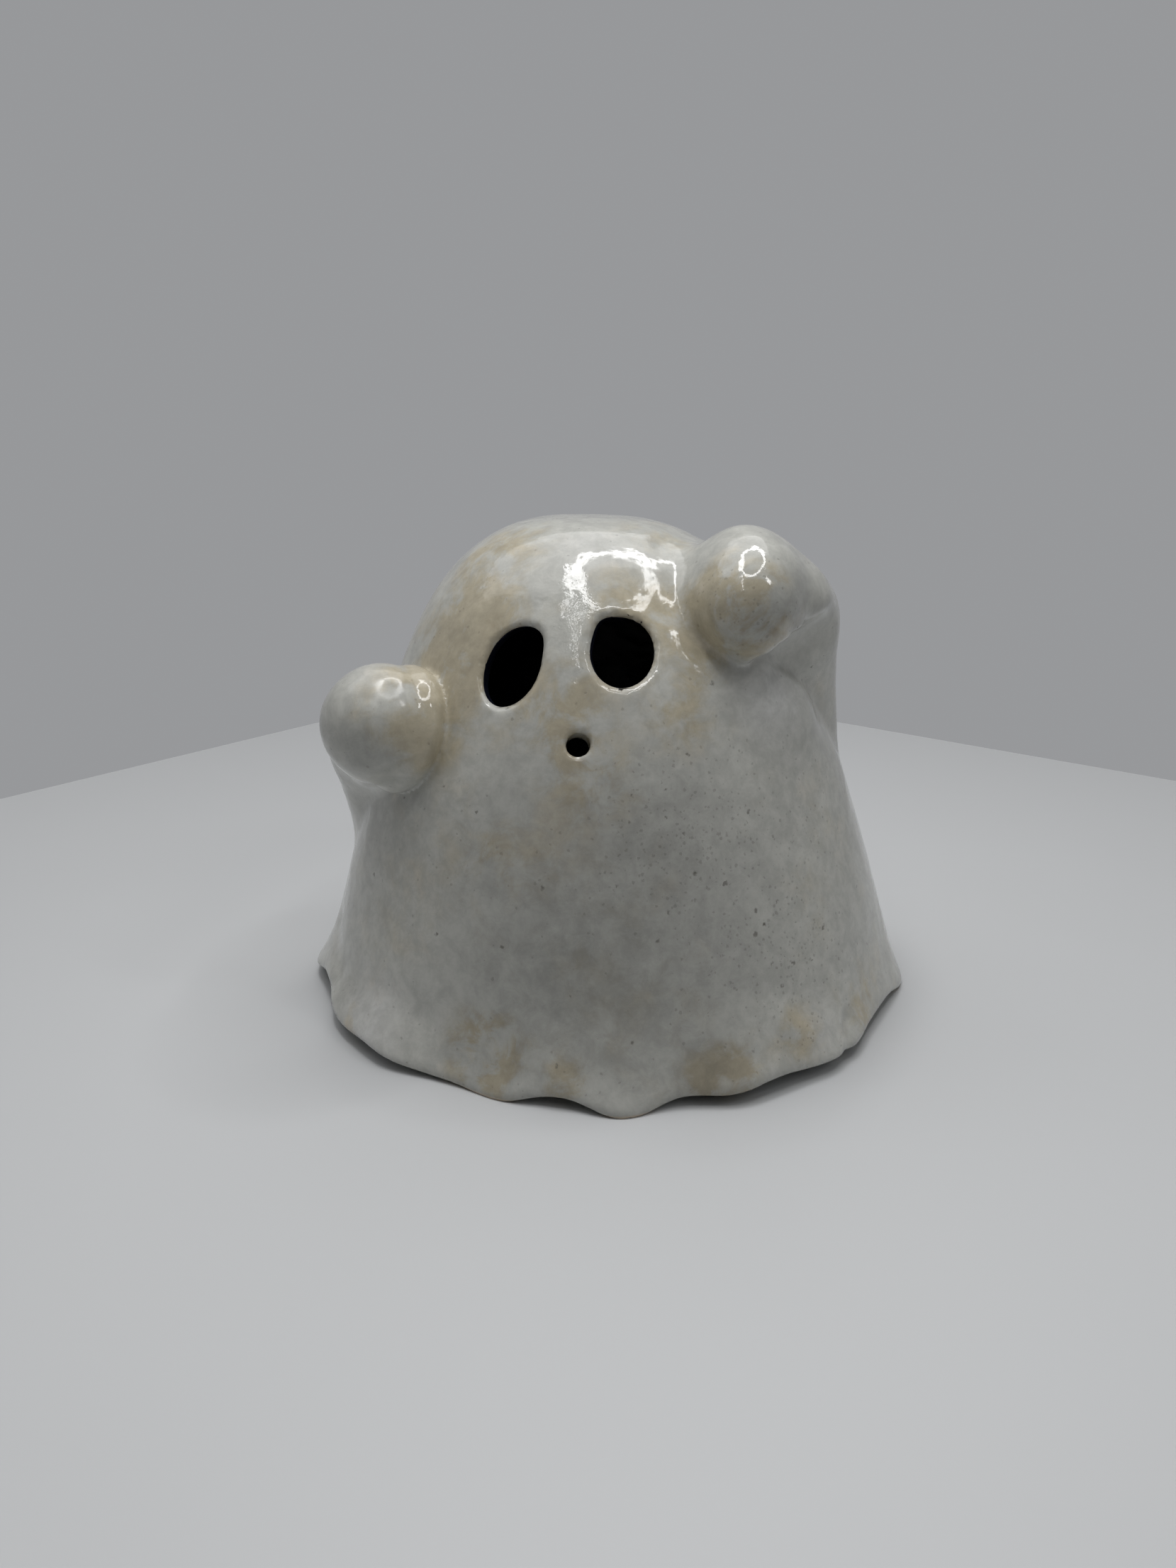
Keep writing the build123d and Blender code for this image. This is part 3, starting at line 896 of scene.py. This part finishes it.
# The pitted glaze between the eyes, and the duller glaze on the left hand: place, radius and weight.
PITTED = [(-3, -31, 73, 13, 0.45)]
DULL = [(-35, -40, 62, 10, 0.22)]


def total_of(graph, coords, patches):
    """The sum of soft patches."""
    amount = 0.0
    for x, y, z, radius, weight in patches:
        amount = graph.math("ADD", graph.near(coords, (x, y, z), radius, weight), amount)
    return amount


def white_glaze():
    g = Graph("white_glaze")
    coords = g.node("ShaderNodeTexCoord").outputs["Object"]
    broad = g.noise(coords, BROAD_SIZE, 4, 0.58)
    cloud = g.noise(coords, CLOUD_SIZE, 5, 0.62, 0.4)
    grain = g.noise(coords, GRAIN_SIZE, 6, 0.72, 0.3)

    # The glaze lies thin in some places and thick in others, and painted shade and painted light go on with
    # the same colours.
    color = g.mix(g.span(broad, 0.36, 0.66), GLAZE_LOW, GLAZE_HIGH)
    color = g.mix(g.span(cloud, 0.54, 0.76, 0.0, 0.5), color, GLAZE_THICK_AND_PAINTED_LIGHT)
    # Painted shade: the thin patches darken the front and the hands.
    thin_and_shade = g.math("MULTIPLY", total_of(g, coords, THIN_AND_PAINTED_SHADE), g.span(cloud, 0.25, 0.65, 0.7, 1.0), clamp=True)
    color = g.mix(g.math("MULTIPLY", thin_and_shade, THIN_AND_SHADE_STRENGTH), color, GLAZE_THIN_AND_PAINTED_SHADE)
    # Painted light: the thick patches lighten the wall under the fist and paint highlights along its ridge
    # and on the hem's lips.
    thick_and_light = g.math("MULTIPLY", total_of(g, coords, THICK_AND_PAINTED_LIGHT), g.span(cloud, 0.3, 0.6, 0.5, 1.0), clamp=True)
    color = g.mix(thick_and_light, color, GLAZE_THICK_AND_PAINTED_LIGHT)

    # Stains, burns and brown rims, whose brown on the walls of the holes is painted shade, with a fine grain
    # over all of it.
    mottle = g.math("ADD", g.math("MULTIPLY", broad, BROAD_SHARE), g.math("MULTIPLY", cloud, CLOUD_SHARE))
    stain = g.math("MULTIPLY", total_of(g, coords, STAINS), g.span(cloud, 0.32, 0.64, 0.3, 1.25))
    mottle = g.math("ADD", mottle, stain)
    color = g.mix(g.span(mottle, 0.5, 0.82, 0.0, 0.9), color, STAIN_TINT, "MULTIPLY")
    burn = g.math("MULTIPLY", total_of(g, coords, BURNS), g.span(cloud, 0.3, 0.68))
    color = g.mix(g.span(burn, 0.08, 0.5, 0.0, 0.6), color, BURN_BROWN)
    # Brown rims, full inside the holes, where they paint the shade on the hole walls.
    rim = g.math("MULTIPLY", g.value("rim"), g.span(cloud, 0.38, 0.6))
    color = g.mix(g.math("MULTIPLY", rim, RIM_STRENGTH), color, RIM_BROWN_AND_HOLE_SHADE)
    shade = g.node("ShaderNodeVectorMath", operation="SCALE")
    g.link(color, shade.inputs[0])
    g.link(g.span(grain, 0.3, 0.7, *GRAIN_SHADE), shade.inputs["Scale"])
    color = shade.outputs[0]

    # Specks, which are also a little sunk in.
    gather = g.math("ADD", total_of(g, coords, SPECKS), SPECKS_ANYWHERE)
    gather = g.math("MULTIPLY", gather, g.span(cloud, 0.3, 0.7, 0.5, 1.0))
    layers = []
    for cell, reach, share, strength in (FAINT_SPECKS, STRONG_SPECKS):
        dots = g.specks(coords, cell, reach, g.math("MULTIPLY", gather, share))
        layers.append(g.math("MULTIPLY", dots, strength))
    speck = g.math("ADD", *layers, clamp=True)
    color = g.mix(speck, color, SPECK_BROWN)

    # The foot is wiped bare.
    height = g.node("ShaderNodeSeparateXYZ")
    g.link(coords, height.inputs["Vector"])
    bare = g.span(height.outputs["Z"], WIPED_LOW, WIPED_HIGH, 1.0, 0.0)
    color = g.mix(bare, color, BARE_CLAY)
    g.link(color, g.shader.inputs["Base Color"])

    # Roughness, and ripples in the surface.
    rough = g.span(cloud, 0.3, 0.75, *GLAZE_ROUGHNESS)
    rough = g.math("ADD", rough, total_of(g, coords, DULL))
    rough = g.math("ADD", rough, g.math("MULTIPLY", bare, BARE_ROUGHNESS))
    g.link(rough, g.shader.inputs["Roughness"])
    g.shader.inputs["IOR"].default_value = GLAZE_IOR
    fine = g.math("MULTIPLY", g.noise(coords, FINE_RIPPLE_SIZE, 2, 0.5), FINE_RIPPLE_SHARE)
    ripple = g.math("ADD", g.noise(coords, RIPPLE_SIZE, 2, 0.5), fine)
    pitted = g.math("MULTIPLY", total_of(g, coords, PITTED), g.noise(coords, PIT_SIZE, 3, 0.6))
    ripple = g.math("ADD", ripple, pitted)
    ripple = g.math("SUBTRACT", ripple, g.math("MULTIPLY", speck, SPECK_SINK))
    g.bump(ripple, GLAZE_BUMP)
    return g.material


def dark_glaze():
    g = Graph("dark_glaze")
    coords = g.node("ShaderNodeTexCoord").outputs["Object"]
    cloud = g.noise(coords, DARK_CLOUD_SIZE, 4, 0.6)
    g.link(g.mix(g.span(cloud, 0.35, 0.7), DARK_LOW, DARK_HIGH), g.shader.inputs["Base Color"])
    g.link(g.span(cloud, 0.3, 0.7, *DARK_ROUGHNESS), g.shader.inputs["Roughness"])
    g.bump(g.noise(coords, DARK_RIPPLE_SIZE, 2, 0.5), DARK_BUMP)
    return g.material


def pale_floor():
    g = Graph("pale_floor")
    coords = g.node("ShaderNodeTexCoord").outputs["Object"]
    haze = g.noise(coords, HAZE_SIZE, 3, 0.5)
    g.link(g.mix(haze, FLOOR_LOW, FLOOR_HIGH), g.shader.inputs["Base Color"])
    g.shader.inputs["Roughness"].default_value = FLOOR_ROUGHNESS
    return g.material


# The table's far corner, the way its two far edges run, and their length.
FLOOR_CORNER = (-0.067, 0.280)
FLOOR_TURN, FLOOR_SIDE = 238.8, 1.8


def add_floor():
    near, far = math.radians(FLOOR_TURN), math.radians(FLOOR_TURN + 90)
    along = (FLOOR_SIDE * math.cos(near), FLOOR_SIDE * math.sin(near))
    across = (FLOOR_SIDE * math.cos(far), FLOOR_SIDE * math.sin(far))
    cx, cy = FLOOR_CORNER
    corners = [
        (cx, cy, 0),
        (cx + along[0], cy + along[1], 0),
        (cx + along[0] + across[0], cy + along[1] + across[1], 0),
        (cx + across[0], cy + across[1], 0),
    ]
    mesh = bpy.data.meshes.new("floor")
    mesh.from_pydata(corners, [], [(0, 1, 2, 3)])
    mesh.materials.append(pale_floor())
    floor = bpy.data.objects.new("floor", mesh)
    bpy.context.scene.collection.objects.link(floor)


def add_area(name, place, size, watts, aim=None):
    lamp = bpy.data.lights.new(name, "AREA")
    lamp.shape = "RECTANGLE"
    lamp.size, lamp.size_y = size
    lamp.energy = watts
    obj = bpy.data.objects.new(name, lamp)
    obj.location = place
    if aim is not None:
        obj.rotation_euler = (Vector(aim) - Vector(place)).to_track_quat("-Z", "Y").to_euler()
    bpy.context.scene.collection.objects.link(obj)
    return obj


# Lamps overhead: an oval ring of small ones, a short row in front, a block, a strip and a broad soft panel.
LAMP_HEIGHT, LAMP_SIZE = 0.40, (0.024, 0.032)
LAMP_AIM = (0, 0, 0.05)
RING_CENTRE, RING_RADII = (0.052, -0.025), (0.105, 0.14)
RING_LAMPS, RING_WATTS = 24, 0.72
ROW_START, ROW_END = (-0.06, -0.15), (-0.045, -0.37)
ROW_LAMPS, ROW_WATTS = 5, 0.10
BLOCK_PLACE, BLOCK_SIZE, BLOCK_WATTS = (-0.056, -0.03, LAMP_HEIGHT), (0.045, 0.11), 0.17
STRIP_PLACE, STRIP_SIZE, STRIP_WATTS = (0.30, -0.15, LAMP_HEIGHT), (0.03, 0.08), 0.10
PANEL_PLACE, PANEL_SIZE, PANEL_WATTS = (-0.25, 0.35, 1.1), (1.5, 0.9), 4.9
# Two soft panels at the sides, which don't show in the glaze: place, size and watts.
SIDE_PANELS = [((0.42, -0.30, 0.42), (0.3, 0.3), 0.25), ((-0.50, -0.05, 0.35), (0.3, 0.3), 0.22)]
# The room behind the figure, as the camera and the glaze see it, and the weaker light that it gives.
ROOM_COLOR = (0.31, 0.315, 0.325, 1)
FILL_COLOR = (0.015, 0.0152, 0.0158, 1)


def add_lights():
    for i in range(RING_LAMPS):
        turn = 2 * math.pi * i / RING_LAMPS
        x = RING_CENTRE[0] + RING_RADII[0] * math.cos(turn)
        y = RING_CENTRE[1] + RING_RADII[1] * math.sin(turn)
        lamp = add_area(f"ring_lamp_{i:02d}", (x, y, LAMP_HEIGHT), LAMP_SIZE, RING_WATTS / RING_LAMPS)
        lamp.rotation_euler = (0, 0, turn)
    for i in range(ROW_LAMPS):
        share = i / (ROW_LAMPS - 1)
        x, y = (a + (b - a) * share for a, b in zip(ROW_START, ROW_END))
        add_area(f"row_lamp_{i}", (x, y, LAMP_HEIGHT), LAMP_SIZE, ROW_WATTS / ROW_LAMPS, aim=LAMP_AIM)
    add_area("left_block", BLOCK_PLACE, BLOCK_SIZE, BLOCK_WATTS)
    add_area("right_strip", STRIP_PLACE, STRIP_SIZE, STRIP_WATTS, aim=LAMP_AIM)
    for i, (place, size, watts) in enumerate(SIDE_PANELS):
        panel = add_area(f"side_panel_{i}", place, size, watts, aim=LAMP_AIM)
        panel.visible_glossy = False
    add_area("soft_panel", PANEL_PLACE, PANEL_SIZE, PANEL_WATTS, aim=LAMP_AIM)


def add_world():
    world = bpy.data.worlds.new("studio")
    bpy.context.scene.world = world
    world.use_nodes = True
    tree = world.node_tree
    room = tree.nodes["Background"]
    room.inputs["Color"].default_value = ROOM_COLOR
    fill = tree.nodes.new("ShaderNodeBackground")
    fill.inputs["Color"].default_value = FILL_COLOR
    path = tree.nodes.new("ShaderNodeLightPath")
    seen = path.outputs["Is Camera Ray"]
    for ray in ("Is Glossy Ray", "Is Transmission Ray"):
        either = tree.nodes.new("ShaderNodeMath")
        either.operation = "ADD"
        either.use_clamp = True
        tree.links.new(seen, either.inputs[0])
        tree.links.new(path.outputs[ray], either.inputs[1])
        seen = either.outputs[0]
    both = tree.nodes.new("ShaderNodeMixShader")
    tree.links.new(seen, both.inputs["Fac"])
    tree.links.new(fill.outputs[0], both.inputs[1])
    tree.links.new(room.outputs[0], both.inputs[2])
    tree.links.new(both.outputs[0], tree.nodes["World Output"].inputs["Surface"])


# The photograph's viewpoint: place, pitch below level and turn, lens and height of its frame in millimetres.
CAMERA_PLACE = (0.02607, -0.22152, 0.107)
CAMERA_PITCH, CAMERA_TURN = 17.4, 8.0
CAMERA_LENS, CAMERA_FRAME = 27.05, 36
CLOSEST_SEEN = 0.01


def add_camera():
    data = bpy.data.cameras.new("camera")
    data.sensor_fit = "VERTICAL"
    data.sensor_height = CAMERA_FRAME
    data.sensor_width = CAMERA_FRAME
    data.lens = CAMERA_LENS
    data.clip_start = CLOSEST_SEEN
    camera = bpy.data.objects.new("camera", data)
    camera.location = CAMERA_PLACE
    camera.rotation_euler = (math.radians(90 - CAMERA_PITCH), 0, math.radians(CAMERA_TURN))
    bpy.context.scene.collection.objects.link(camera)
    bpy.context.scene.camera = camera


white, dark = white_glaze(), dark_glaze()
for node, piece in build_pieces().items():
    inner = node == "inner_glaze"
    piece.data.materials.append(dark if inner else white)
    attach(piece, "root")
    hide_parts(node)
add_floor()
add_lights()
add_world()
add_camera()
bpy.context.scene.view_settings.view_transform = "Standard"
bpy.context.view_layer.update()
